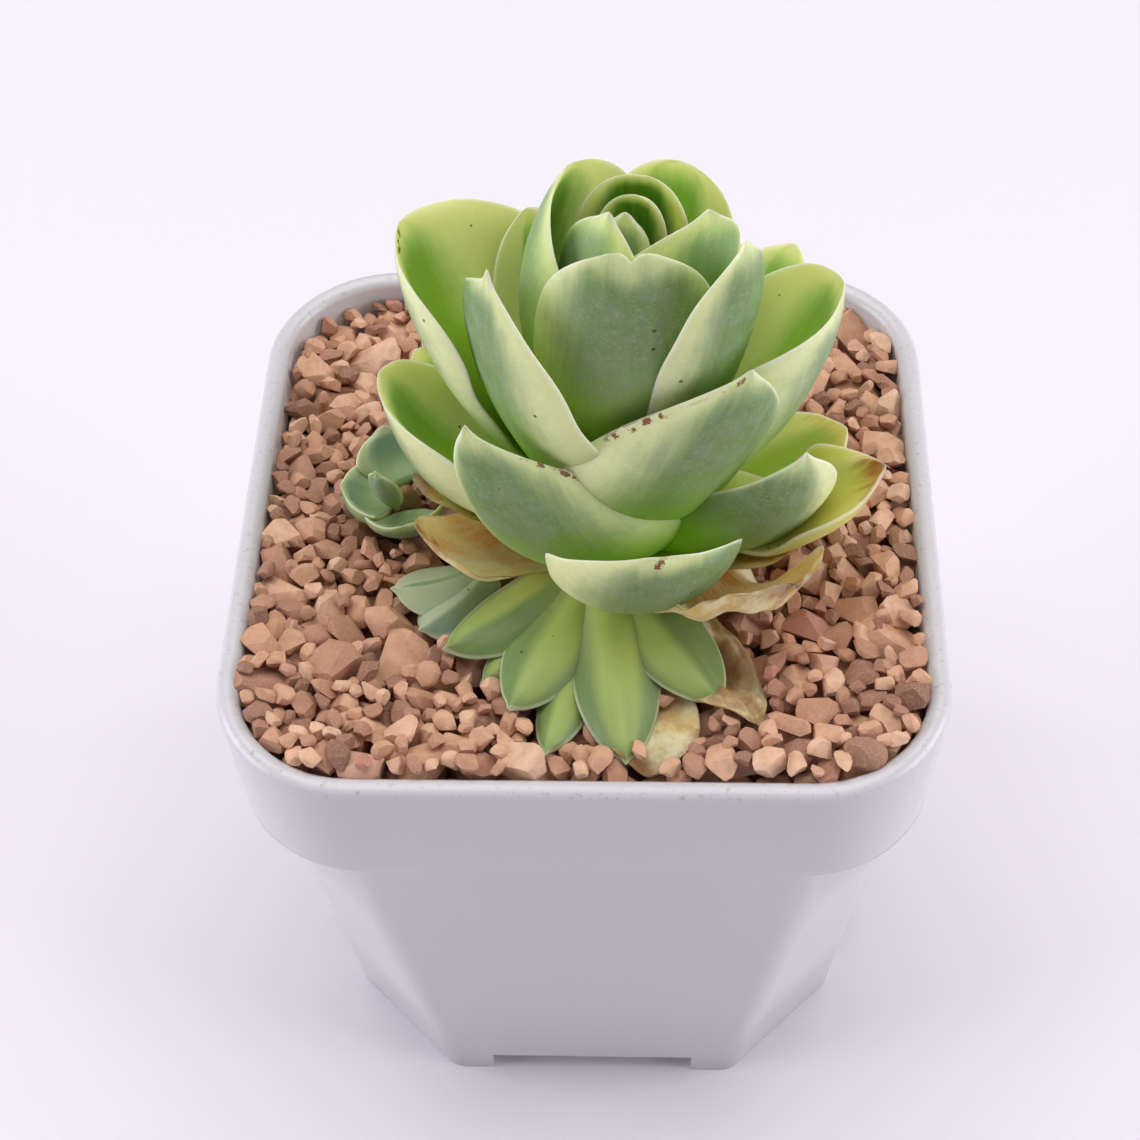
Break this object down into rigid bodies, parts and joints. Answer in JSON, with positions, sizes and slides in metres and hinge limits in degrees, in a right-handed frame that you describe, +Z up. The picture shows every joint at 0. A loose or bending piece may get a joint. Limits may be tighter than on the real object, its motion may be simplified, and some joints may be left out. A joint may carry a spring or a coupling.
{
  "type": "potted succulent",
  "caption": "Rosette succulent with fleshy cupped leaves and small offsets, in a square pot with rounded corners, topped with clay granules.",
  "frame": {"origin": "on the floor under the middle of the pot's base", "axes": "+Z up, +X to the right of the plant's front, -Y towards the front"},
  "size_m": [0.07, 0.07, 0.1104],
  "materials": {
    "pot": "glossy white moulded polypropylene",
    "soil": "dark crumbly potting mix",
    "gravel": "matt tan baked-clay granules",
    "stem": "dull green-brown stem",
    "leaf": "waxy grey-green leaf with a powdery bloom and pale margins",
    "bud_leaf": "waxy young leaf, yellow-green with pale margins",
    "offset_leaf": "waxy green leaf with a paler midrib",
    "withered_leaf": "dry wrinkled tan to brown leaf skin"
  },
  "bodies": {
    "root": {"pot": "pot", "soil": "soil", "gravel_bed": "gravel", "main_stem": "stem", "front_offset_stem": "stem", "left_offset_stem": "stem", "low_offset_stem": "stem", "leaf_front_low": "leaf", "leaf_left_low": "leaf", "leaf_right_low": "leaf", "leaf_left_mid": "leaf", "leaf_right_fallen": "leaf", "leaf_back_low_left": "leaf", "leaf_back_low": "leaf", "leaf_back_low_right": "leaf", "leaf_front_right": "leaf", "leaf_back_mid_left": "leaf", "leaf_back_mid_right": "leaf", "leaf_left_tall": "leaf", "leaf_left_front_tall": "leaf", "leaf_right_tall": "leaf", "leaf_back_left": "leaf", "leaf_back_right": "leaf", "leaf_front_tall": "leaf", "leaf_right_front_tall": "leaf", "leaf_back": "leaf", "bud_leaf_left": "bud_leaf", "bud_leaf_right": "bud_leaf", "bud_leaf_front_left": "bud_leaf", "bud_leaf_front_right": "bud_leaf", "bud_leaf_back": "bud_leaf", "heart_leaf_front": "bud_leaf", "heart_leaf_back": "bud_leaf", "front_offset_leaf_middle": "offset_leaf", "front_offset_leaf_front_left": "offset_leaf", "front_offset_leaf_left": "offset_leaf", "front_offset_leaf_right": "offset_leaf", "front_offset_leaf_low": "offset_leaf", "front_offset_leaf_under_left": "offset_leaf", "left_offset_leaf_left": "offset_leaf", "left_offset_leaf_front": "offset_leaf", "left_offset_leaf_back": "offset_leaf", "left_offset_leaf_right": "offset_leaf", "left_offset_leaf_heart": "offset_leaf", "low_offset_leaf_left": "offset_leaf", "low_offset_leaf_front": "offset_leaf", "withered_leaf_left": "withered_leaf", "withered_leaf_left_stub": "withered_leaf", "withered_leaf_right": "withered_leaf", "withered_leaf_right_upper": "withered_leaf", "withered_leaf_hanging": "withered_leaf", "withered_leaf_front": "withered_leaf"}
  },
  "joints": []
}
